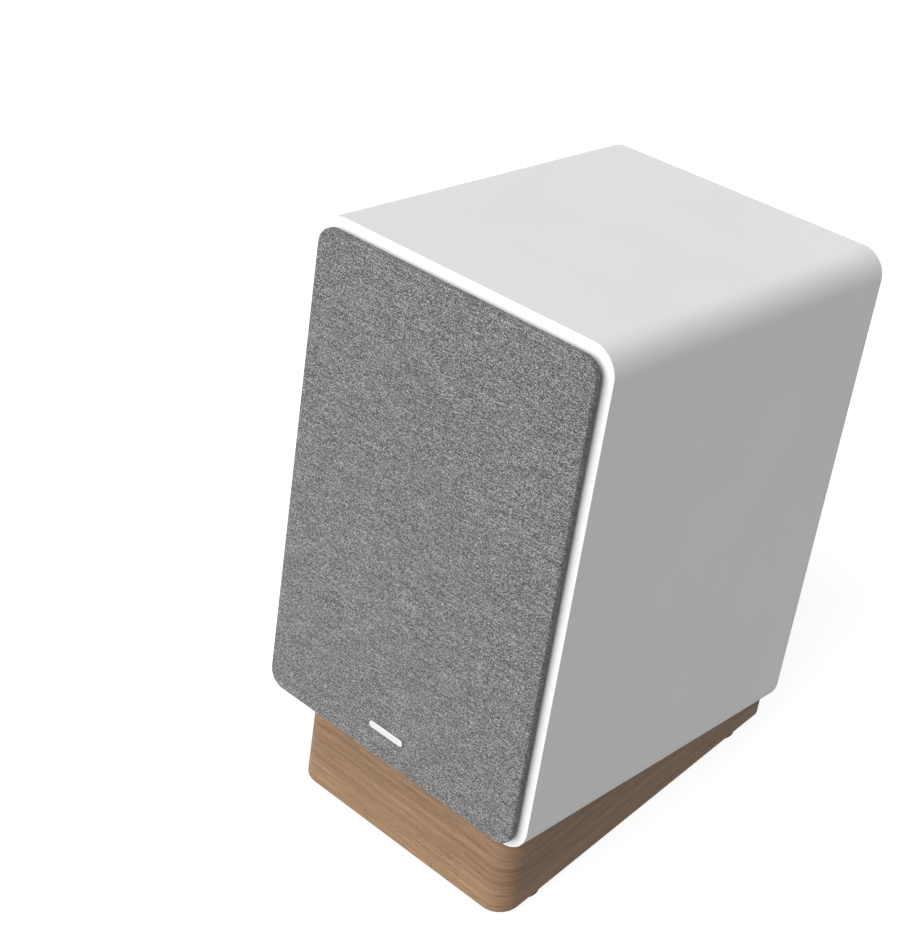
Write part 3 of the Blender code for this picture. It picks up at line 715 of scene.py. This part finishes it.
WOOFER_Z = 83
powder = grainy("black_powder_coat", "#161617", "#242426", 0.5, 0.5, 0.03)
basket_rings = [(64, 2.8), (64, 5.3), (63.7, 5.5), (53.6, 5.5), (53.0, 5.9), (50.6, 12)]
basket_rings += [(41.7, 39), (41.5, 40), (41.5, 45.5), (41.0, 46)]
basket_rings += [(17, 46), (17, 43.8), (34, 43.8), (34, 40), (39.2, 40), (48.4, 12)]
basket_rings += [(50, 7.2), (50, 3.3), (57.3, 3.3), (57.3, 2.8), (57.7, 2.5), (63.7, 2.5)]
basket = turned("pressed_steel_basket", basket_rings, (0, 0, 0), "Y", 128)
for turn in range(3):
    slot = block("window", (-80, 80), (13, 37.5), (-13, 13))
    round_edges(slot, 4, 6, "X")
    slot.matrix_world = Matrix.Rotation(math.radians(60 * turn), 4, "Y")
    cut_out(basket, slot)
for x, z in WOOFER_SPOTS:
    sink_rings = [(0, 1), (2.9, 1), (2.9, 2.7), (1.8, 3.4), (1.8, 9), (0, 9)]
    cut_out(basket, turned("countersink", sink_rings, (x, 0, z - WOOFER_Z), "Y", 32))
soften(basket, 0.15, 2, 45)
basket.location.z = WOOFER_Z * MM
set_down(basket)
fit(basket, powder, "cabinet", ["woofer_basket"])

zinc = grainy("zinc_plated_steel", "#8f959b", "#b5babd", 1.5, 0.36, 0.006, 1.0)
ferrite = grainy("sintered_ferrite", "#2a2b2d", "#3b3c3f", 0.3, 0.62, 0.02)
for name, rings, material, node, slot in (
    (
        "zinc_woofer_top_plate",
        [
            (13.8, 46.7), (14.2, 46.3), (37.6, 46.3), (38, 46.7), (38, 50.9), (37.6, 51.3),
            (14.2, 51.3), (13.8, 50.9),
        ],
        zinc, "woofer_top_plate", "zinc_steel",
    ),
    (
        "ferrite_woofer_ring",
        [
            (17, 52.1), (17.5, 51.6), (39.2, 51.6), (40, 52.4), (40, 62.8), (39.2, 63.6), (17.5, 63.6),
            (17, 63.1),
        ],
        ferrite, "woofer_magnet", "ferrite",
    ),
    (
        "zinc_woofer_yoke",
        [
            (0, 46), (11.6, 46), (12.1, 46.5), (12.1, 63.9), (37.5, 63.9), (38, 64.4), (38, 67.4),
            (36.5, 68.9), (6, 68.9), (4.5, 67.6), (0, 67.6),
        ],
        zinc, "woofer_yoke", "zinc_steel",
    ),
):
    part = turned(name, rings, (0, 0, WOOFER_Z))
    soften(part, 0, 1, 35)
    set_down(part)
    fit(part, material, "cabinet", [node])

# The spider is cotton dipped in resin and pressed hot: six round corrugations and a flat rim.
spider_rings = [(13.6 + 0.2125 * k, 38.55 + 1.05 * math.cos(k * math.pi / 8)) for k in range(97)]
spider_rings += [(34.6, 38.9), (35.2, 39.4), (38.6, 39.45)]
spider = turned("corrugated_spider", spider_rings, (0, 0, WOOFER_Z), closed=False)
thicken(spider, "cloth_thickness", 0.35, 0)
soften(spider, 0, 1, 60)
set_down(spider)
resin_cloth, shader = new_material("resin_dipped_cotton", "#b98a3e", 0.7)
place = add_node(resin_cloth, "TexCoord").outputs["Object"]
upright = add_node(resin_cloth, "Mapping", {"Vector": place, "Rotation": (LEAN_ANGLE, 0, 0)})
# Threads 0.5 mm apart both ways.
weft = add_node(resin_cloth, "TexWave", {"Vector": upright.outputs[0], "Scale": 628.0}, bands_direction="X")
warp = add_node(resin_cloth, "TexWave", {"Vector": upright.outputs[0], "Scale": 628.0}, bands_direction="Z")
woven = add_node(resin_cloth, "Math", {0: weft.outputs["Fac"], 1: warp.outputs["Fac"]}, operation="MULTIPLY")
stain = noise(resin_cloth, place, 90.0, 4.0)
tint = add_node(resin_cloth, "Math", {0: woven.outputs[0], 1: stain.outputs["Fac"]}, operation="ADD")
two_tone(resin_cloth, shader, tint.outputs[0], 0.4, "#94672a", 1.0, "#cfa257")
emboss(resin_cloth, shader, woven.outputs[0], 0.6, 0.0001)
fit(spider, resin_cloth, "cabinet", ["woofer_spider"])


def cone_depth(radius):
    """How deep the cone's face is at that radius."""
    return 4.0 + 18.0 * (1 - (radius - 13.1) / 33.3) ** 1.25


# The cone is felted from paper pulp and pressed to a gentle flare, with a rolled lip at its edge.
cone_rings = [(46.4 - 33.3 * k / 32, cone_depth(46.4 - 33.3 * k / 32)) for k in range(33)]
cone = turned("paper_pulp_cone", cone_rings, (0, 0, WOOFER_Z), closed=False, sides=128)
thicken(cone, "paper_thickness", 0.7, 1)
soften(cone, 0.12, 2, 50)
set_down(cone)
pulp = grainy("black_paper_pulp", "#191919", "#2b2b2a", 0.8, 0.78, 0.08)
fit(cone, pulp, "cone_assembly", ["woofer_cone"])

cap_rings = [
    (0.01 + 18.5 * math.sin(math.radians(a)), 17.33 - 7 * math.cos(math.radians(a)))
    for a in range(0, 91, 5)
]
dust_cap = turned("pressed_dust_cap", cap_rings, (0, 0, WOOFER_Z), closed=False)
thicken(dust_cap, "paper_thickness", 0.6, -1)
soften(dust_cap, 0, 1, 50)
set_down(dust_cap)
fit(dust_cap, pulp, "cone_assembly", ["woofer_dust_cap"])

former = turned("aluminium_former", [(12.5, 20), (12.8, 20), (12.8, 55), (12.5, 55)], (0, 0, WOOFER_Z))
soften(former, 0)
set_down(former)
foil = grainy("rolled_aluminium_foil", "#b9bcc0", "#d6d8da", 1.0, 0.3, 0.004, 1.0)
fit(former, foil, "cone_assembly", ["woofer_coil_former"])

# Round enamelled wire, 0.3 mm thick, wound side by side on the former.
wire_rings = [(12.9, 44.3)]
for turn in range(30):
    wire_rings += [(13.15, 44.3 + 0.3 * turn + 0.02), (13.33, 44.3 + 0.3 * turn + 0.15)]
wire_rings += [(13.15, 53.3), (12.9, 53.3)]
voice_coil = turned("woofer_wire_coil", wire_rings, (0, 0, WOOFER_Z))
soften(voice_coil, 0, 1, 70)
set_down(voice_coil)
fit(voice_coil, enamel_wire, "cone_assembly", ["woofer_voice_coil"])

# The surround is one moulding of butyl rubber. Its half-roll and outer lip are glued to the basket,
# and its inner skirt is glued down on the cone's edge.
roll_rings = [(45.6, 3.72), (46.1, 3.55), (46.6, 3.3), (46.95, 3.0), (47.15, 2.75), (47.3, 2.5)]
roll_rings += [
    (51 - 3.7 * math.cos(math.radians(a)), 2.5 - 3.7 * math.sin(math.radians(a)))
    for a in range(10, 171, 8)
]
roll_rings += [(54.7, 2.5), (55.1, 2.9), (56.9, 2.9)]
surround = turned("rubber_half_roll", roll_rings, (0, 0, WOOFER_Z), closed=False, sides=128)
thicken(surround, "rubber_thickness", 0.4, 0)
soften(surround, 0, 1, 60)
set_down(surround)
surround.data.materials.clear()
butyl = grainy("moulded_butyl_rubber", "#111112", "#1d1d1e", 2.5, 0.48, 0.01)
surround.data.materials.append(butyl)
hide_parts("woofer_surround")
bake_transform(surround)

# ---------------------------------------------------------------- screws
# Pan-headed wood screws of blackened steel with a cross recess. One is made and then copied.

blackened = grainy("blackened_steel", "#1b1b1d", "#303134", 0.6, 0.38, 0.004, 1.0)


def wood_screw(name, head):
    """A screw along Y, with the top of its head at 0."""
    rings = [(0, 0), (head * 0.45, 0.02), (head * 0.75, 0.16), (head * 0.93, 0.45), (head, 0.85)]
    rings += [(head, head / 2 - 0.05), (head - 0.1, head / 2), (1.1, head / 2)]
    for thread in range(8):
        low = head / 2 + 1.0 + 1.1 * thread
        rings += [(1.1, low), (1.5, low + 0.4), (1.5, low + 0.5), (1.1, low + 0.8)]
    rings += [(1.0, 11.4), (0.4, 12.6), (0, 13)]
    screw = turned(name, rings, (0, 0, 0), "Y", 32)
    for wide, deep in ((0.36, 1.4), (1.4, 0.36)):
        cut_out(screw, block("recess", (-wide, wide), (-1, 1.0), (-deep, deep)))
    soften(screw, 0, 1, 40)
    return screw


for prefix, head, top, spots in (
    ("woofer_screw", 2.6, 0.9, WOOFER_SPOTS),
    ("tweeter_screw", 2.4, -1.2, TWEETER_SPOTS),
):
    first = wood_screw("blackened_" + prefix, head)
    for number, (x, z) in enumerate(spots, 1):
        screw = first.copy()
        screw.data = first.data.copy()
        screw.name = f"blackened_{prefix}_{number}"
        bpy.context.collection.objects.link(screw)
        turn = Matrix.Rotation(math.radians(37 * number), 4, "Y")
        screw.matrix_world = Matrix.Translation(Vector((x, top, z)) * MM) @ turn @ screw.matrix_world
        set_down(screw)
        fit(screw, blackened, "cabinet", [f"{prefix}_{number}"])
    bpy.data.objects.remove(first)

# ---------------------------------------------------------------- tweeter
# A 19 mm silk dome in a moulded faceplate whose shallow horn spreads the sound. Behind it are two
# plates, a ferrite ring and a cup of air that lowers the dome's resonance.

TWEETER_Z = 193.5
HORN_BEND = math.radians(70)
mouth = []
for step in range(17):
    bend = math.radians(70 * step / 16)
    radius = 30 - 17.8 * math.sin(bend) / math.sin(HORN_BEND)
    depth = 0.3 + 5.2 * (1 - math.cos(bend)) / (1 - math.cos(HORN_BEND))
    mouth.append((radius, depth))
face_rings = mouth + [(12.2, 6.3), (12.4, 6.5), (28.8, 6.5), (29, 6.3), (29, 4.3)]
face_rings += [(41.7, 4.3), (42, 4.0), (42, 0.7), (41.6, 0.3)]
faceplate = turned("horn_faceplate", face_rings, (0, 0, 0), "Y", 128)
for x, z in TWEETER_SPOTS:
    cut_out(faceplate, bore(1.8, -3, 9, x, z - TWEETER_Z, 24))
soften(faceplate, 0.12, 2, 40)
faceplate.location.z = TWEETER_Z * MM
set_down(faceplate)
abs_black = grainy("fine_moulded_black_abs", "#17171a", "#212124", 0.35, 0.46, 0.02)
fit(faceplate, abs_black, "cabinet", ["tweeter_faceplate"])

for name, rings, material, node, slot in (
    (
        "zinc_tweeter_top_plate",
        [
            (10.4, 7.8), (10.6, 7.6), (23.8, 7.6), (24, 7.8), (24, 9.8), (23.8, 10), (10.6, 10),
            (10.4, 9.8),
        ],
        zinc, "tweeter_top_plate", "zinc_steel",
    ),
    (
        "ferrite_tweeter_ring",
        [
            (12, 10.7), (12.4, 10.3), (24.5, 10.3), (25, 10.8), (25, 16.2), (24.5, 16.7), (12.4, 16.7),
            (12, 16.3),
        ],
        ferrite, "tweeter_magnet", "ferrite",
    ),
    (
        "zinc_tweeter_yoke",
        [
            (0, 8), (8.7, 8), (9, 8.3), (9, 17), (23.7, 17), (24, 17.3), (24, 20.5), (23.5, 21),
            (0, 21),
        ],
        zinc, "tweeter_yoke", "zinc_steel",
    ),
    (
        "moulded_rear_chamber",
        [
            (27.7, 6.8), (27.7, 32.5), (26.2, 34), (0, 34), (0.01, 32), (25.0, 32), (25.7, 31.3),
            (25.7, 6.8),
        ],
        abs_black, "tweeter_rear_chamber", "black_plastic",
    ),
):
    part = turned(name, rings, (0, 0, TWEETER_Z))
    soften(part, 0, 1, 35)
    set_down(part)
    fit(part, material, "cabinet", [node])

dome_rings = [
    (0.01 + 9.6 * math.sin(math.radians(a)), 6.0 - 4.2 * math.cos(math.radians(a)))
    for a in range(0, 86, 5)
]
dome_rings += [
    (10.75 - 1.15 * math.cos(math.radians(a)), 6.0 - 1.15 * math.sin(math.radians(a)))
    for a in range(0, 181, 15)
]
dome = turned("silk_dome_and_roll", dome_rings, (0, 0, TWEETER_Z), closed=False)
thicken(dome, "silk_thickness", 0.3, -1)
soften(dome, 0, 1, 60)
set_down(dome)
# Coated silk: a weave of 0.3 mm threads under a tacky damping coat with a soft gleam.
silk, shader = new_material("coated_silk", "#1d1d20", 0.42)
place = add_node(silk, "TexCoord").outputs["Object"]
upright = add_node(silk, "Mapping", {"Vector": place, "Rotation": (LEAN_ANGLE, 0, math.radians(45))})
weft = add_node(silk, "TexWave", {"Vector": upright.outputs[0], "Scale": 1047.0}, bands_direction="X")
warp = add_node(silk, "TexWave", {"Vector": upright.outputs[0], "Scale": 1047.0}, bands_direction="Z")
woven = add_node(silk, "Math", {0: weft.outputs["Fac"], 1: warp.outputs["Fac"]}, operation="MULTIPLY")
two_tone(silk, shader, woven.outputs[0], 0.0, "#141416", 1.0, "#2b2b30")
emboss(silk, shader, woven.outputs[0], 0.4, 0.00004)
fit(dome, silk, "dome_assembly", ["tweeter_dome"])

wire_rings = [(9.3, 6.8)]
for turn in range(18):
    wire_rings += [(9.62, 6.8 + 0.26 * turn + 0.02), (9.79, 6.8 + 0.26 * turn + 0.13)]
wire_rings += [(9.62, 11.5), (9.3, 11.5)]
small_coil = turned("tweeter_wire_coil", wire_rings, (0, 0, TWEETER_Z))
soften(small_coil, 0, 1, 70)
set_down(small_coil)
fit(small_coil, enamel_wire, "dome_assembly", ["tweeter_voice_coil"])

# ---------------------------------------------------------------- reflex port
# A tube moulded in black ABS and pushed in through the rear panel. Its mouth flares to the flange
# so that the air leaves quietly.

port_rings = [(17.5, 98.6), (18.1, 98), (19.4, 98), (20, 98.6), (20, 195.8), (28.6, 195.8)]
port_rings += [(29, 196.2), (29, 197.6), (28.4, 198.3), (25.2, 198.3)]
port_rings += [
    (17.5 + 7.5 * (1 - math.cos(math.radians(a))), 186.5 + 11.7 * math.sin(math.radians(a)))
    for a in range(84, -1, -6)
]
port = turned("flared_port_tube", port_rings, (0, 0, 192), "Y", 128)
soften(port, 0, 1, 35)
set_down(port)
fit(port, abs_black, "cabinet", ["port_tube"])

# ---------------------------------------------------------------- terminal cup and posts
# A recessed tray moulded in black ABS holds two gold-plated posts. Each has a ribbed cap that
# screws down on the wire: red for plus, black for minus, as the marks in the tray say.

cup = block("moulded_terminal_tray", (-36, 36), (195.8, 198.0), (40, 100))
round_edges(cup, 5, 10, "Y")
tray = block("tray", (-27, 27), (182, 197), (48, 92))
round_edges(tray, 4, 8, "Y")
combine(cup, tray, "UNION")
recess = block("recess", (-25, 25), (184, 210), (50, 90))
round_edges(recess, 3, 8, "Y")
cut_out(cup, recess)
for x in (-13, 13):
    cut_out(cup, bore(2.6, 170, 190, x, 70, 32))
marks = [(-13, 84, 3.0, 0.5), (-13, 84, 0.5, 3.0), (13, 84, 3.0, 0.5)]
for x, z, half_wide, half_high in marks:
    cut_out(cup, block("mark", (x - half_wide, x + half_wide), (183.5, 186), (z - half_high, z + half_high)))
soften(cup, 0.35, 2, 50)
set_down(cup)
fit(cup, abs_black, "cabinet", ["terminal_cup"])

gold = grainy("gold_plated_brass", "#c79a3c", "#e3bd62", 0.8, 0.24, 0.004, 1.0)
red_abs = grainy("translucent_red_abs", "#7d0f10", "#a31416", 3.0, 0.28, 0.004)
black_abs = grainy("glossy_black_abs", "#0f0f10", "#1a1a1b", 3.0, 0.3, 0.004)
for colour, x, plastic, slot in (
    ("red", -13, red_abs, "red_plastic"),
    ("black", 13, black_abs, "black_grip"),
):
    stud_rings = [(0, 178), (1.9, 178), (2.3, 178.4), (2.3, 184.3), (4.7, 184.3)]
    stud_rings += [(5, 184.6), (5, 186.2), (4.7, 186.5), (2.3, 186.5)]
    for thread in range(14):
        low = 186.8 + 0.84 * thread
        stud_rings += [(2.05, low), (2.3, low + 0.3), (2.3, low + 0.4), (2.05, low + 0.7)]
    stud_rings += [(1.9, 199), (0, 199)]
    stud = turned(f"gold_{colour}_stud", stud_rings, (x, 0, 70), "Y", 48)
    soften(stud, 0, 1, 35)
    set_down(stud)
    fit(stud, gold, "cabinet", [f"{colour}_post_stud"])

    cap_rings = [(2.6, 189), (5.6, 189), (6.0, 189.3), (6.4, 190.0), (6.4, 202)]
    cap_rings += [(6.1, 202.8), (5.6, 203.3), (4.8, 203.5)]
    cap_rings += [(3.4, 203.5), (3.1, 203.1), (0, 203.1), (0.01, 199.5), (2.6, 199.5)]
    cap = turned(f"ribbed_{colour}_cap", cap_rings, (0, 0, 0), "Y", 96)
    bpy.ops.object.mode_set(mode="EDIT")
    pick("VERT", lambda middle, v: middle.xy.length > 6.3 and side_number(middle) % 4 < 2)
    bpy.ops.transform.resize(value=(0.93, 0.93, 1), center_override=(0, 0, 0))
    bpy.ops.object.mode_set(mode="OBJECT")
    cap.location = (x * MM, 0, 70 * MM)
    set_down(cap)
    soften(cap, 0, 1, 25)
    fit(cap, plastic, f"{colour}_terminal_cap", [f"{colour}_post_cap"])

# ---------------------------------------------------------------- grille frame
# A frame moulded in black ABS with a window before each driver. Its back is stepped in, so that
# the grille seems to float off the baffle, and its pockets hold the magnets.

grille_frame = block("grille_frame_moulding", (-79.85, 79.85), (-5.2, -3.0), (5.15, 249.85))
round_edges(grille_frame, 8.15, 12, "Y")
step = block("step", (-70, 70), (-4, -0.3), (10.5, 244.5))
round_edges(step, 6, 10, "Y")
combine(grille_frame, step, "UNION")
for low, high in ((18.5, 143.5), (147.5, 235.5)):
    window = block("window", (-60, 60), (-10, 5), (low, high))
    round_edges(window, 12, 12, "Y")
    cut_out(grille_frame, window)
for x, z in MAGNET_SPOTS.values():
    cut_out(grille_frame, bore(4.3, -2.8, 5, x, z, 48))
soften(grille_frame, 0.2, 2, 50)
set_down(grille_frame)
fit(grille_frame, abs_black, "grille", ["grille_frame"])

# ---------------------------------------------------------------- grille cloth
# A heather-grey polyester, plain-woven from light and dark yarns, stretched over the frame and
# glued to its back. The face is flat, and the cloth turns the frame's edge in a tight round.

cloth = block("stretched_grille_cloth", (-80.75, 80.75), (-6.1, -3.0), (4.25, 250.75))
round_edges(cloth, 9.05, 16, "Y")
bpy.ops.object.mode_set(mode="EDIT")
pick("EDGE", lambda middle, edge: middle.y < -6.0)
bpy.ops.mesh.bevel(offset=1.1 * MM, segments=5, profile=0.5, affect="EDGES")
pick("FACE", lambda middle, face: middle.y > -3.01)
bpy.ops.mesh.delete(type="FACE")
bpy.ops.object.mode_set(mode="OBJECT")
thicken(cloth, "cloth_thickness", 0.6, -1)
soften(cloth, 0, 2, 50)
set_down(cloth)

# Woven heather polyester: matt and soft. Every yarn is a twist of pale and dark fibres, so light
# and dark flecks run along it, and some weft yarns are paler or darker for a few centimetres. The
# yarns are 0.36 mm apart, weft across and warp up the front.
heather, shader = new_material("woven_heather_polyester", "#6a6a6a", 0.92)
shader.inputs["Sheen Weight"].default_value = 0.12
shader.inputs["Sheen Roughness"].default_value = 0.6
place = add_node(heather, "TexCoord").outputs["Object"]
upright = add_node(heather, "Mapping", {"Vector": place, "Rotation": (LEAN_ANGLE, 0.0, 0.0)})
across, depth, up = add_node(heather, "SeparateXYZ", {"Vector": upright.outputs[0]}).outputs
# On the wrapped edges the yarns go on round, because the depth is added to both ways.
yarn_across = add_node(heather, "Math", {0: across, 1: depth}, operation="ADD").outputs[0]
yarn_up = add_node(heather, "Math", {0: up, 1: depth}, operation="ADD").outputs[0]
YARN = 0.36 * MM
weft_row = add_node(heather, "Math", {0: yarn_up, 1: YARN}, operation="SNAP").outputs[0]
warp_row = add_node(heather, "Math", {0: yarn_across, 1: YARN}, operation="SNAP").outputs[0]
# Flecks are 1.2 mm long on the weft and 0.8 mm on the warp.
weft_place = add_node(heather, "CombineXYZ", {"X": yarn_across, "Y": weft_row}).outputs[0]
weft_way = add_node(heather, "Mapping", {"Vector": weft_place, "Scale": (830.0, 9000.0, 1.0)}).outputs[0]
weft = noise(heather, weft_way, 1.0, 2.0).outputs["Fac"]
warp_place = add_node(heather, "CombineXYZ", {"X": warp_row, "Y": yarn_up}).outputs[0]
warp_way = add_node(heather, "Mapping", {"Vector": warp_place, "Scale": (9000.0, 1250.0, 1.0)}).outputs[0]
warp = noise(heather, warp_way, 1.0, 2.0).outputs["Fac"]
# Slubs run 15 mm along a weft yarn.
slub_way = add_node(heather, "Mapping", {"Vector": weft_place, "Scale": (65.0, 3000.0, 1.0)}).outputs[0]
slub = noise(heather, slub_way, 1.0, 1.0).outputs["Fac"]
checks = add_node(heather, "CombineXYZ", {"X": yarn_across, "Y": yarn_up}).outputs[0]
over = add_node(heather, "TexChecker", {"Vector": checks, "Scale": 1 / YARN}).outputs["Fac"]
fleck = add_node(heather, "Mix", {"Factor": over, 2: weft, 3: warp}).outputs[0]
slubbed = add_node(heather, "Mix", {"Factor": 0.17, 2: fleck, 3: slub}).outputs[0]
fleck_tone = add_node(heather, "ValToRGB", {"Fac": slubbed})
ramp = fleck_tone.color_ramp
ramp.elements[0].position, ramp.elements[0].color = 0.38, from_hex("#121213")
ramp.elements[1].position, ramp.elements[1].color = 0.62, from_hex("#acacac")
middle_tone = ramp.elements.new(0.5)
middle_tone.color = from_hex("#535354")
heather.node_tree.links.new(fleck_tone.outputs["Color"], shader.inputs["Base Color"])
weft_turn = add_node(heather, "Math", {0: yarn_up, 1: math.pi / YARN}, operation="MULTIPLY")
weft_round = add_node(heather, "Math", {0: weft_turn.outputs[0]}, operation="SINE")
weft_high = add_node(heather, "Math", {0: weft_round.outputs[0]}, operation="ABSOLUTE")
warp_turn = add_node(heather, "Math", {0: yarn_across, 1: math.pi / YARN}, operation="MULTIPLY")
warp_round = add_node(heather, "Math", {0: warp_turn.outputs[0]}, operation="SINE")
warp_high = add_node(heather, "Math", {0: warp_round.outputs[0]}, operation="ABSOLUTE")
height = add_node(heather, "Mix", {"Factor": over, 2: weft_high.outputs[0], 3: warp_high.outputs[0]})
emboss(heather, shader, height.outputs[0], 0.6, 0.00012)
fit(cloth, heather, "grille", ["grille_cloth"])

# ---------------------------------------------------------------- badge
# A small bar of blasted and clear-anodised aluminium, riveted through the cloth near its foot.

badge = block("satin_badge", (-11, 11), (-7.0, -6.4), (19.2, 22.8))
round_edges(badge, 1.75, 10, "Y")
soften(badge, 0.2, 3, 40)
set_down(badge)
anodised, shader = new_material("satin_anodised_aluminium", "#d9dadb", 0.34, 1.0)
place = add_node(anodised, "TexCoord").outputs["Object"]
blast = noise(anodised, place, 5200.0, 2.0)
patch = noise(anodised, place, 160.0, 3.0)
rough = add_node(anodised, "MapRange", {"Value": patch.outputs["Fac"], "To Min": 0.28, "To Max": 0.42})
anodised.node_tree.links.new(rough.outputs[0], shader.inputs["Roughness"])
emboss(anodised, shader, blast.outputs["Fac"], 0.2, 0.00002)
fit(badge, anodised, "grille", ["grille_badge"])
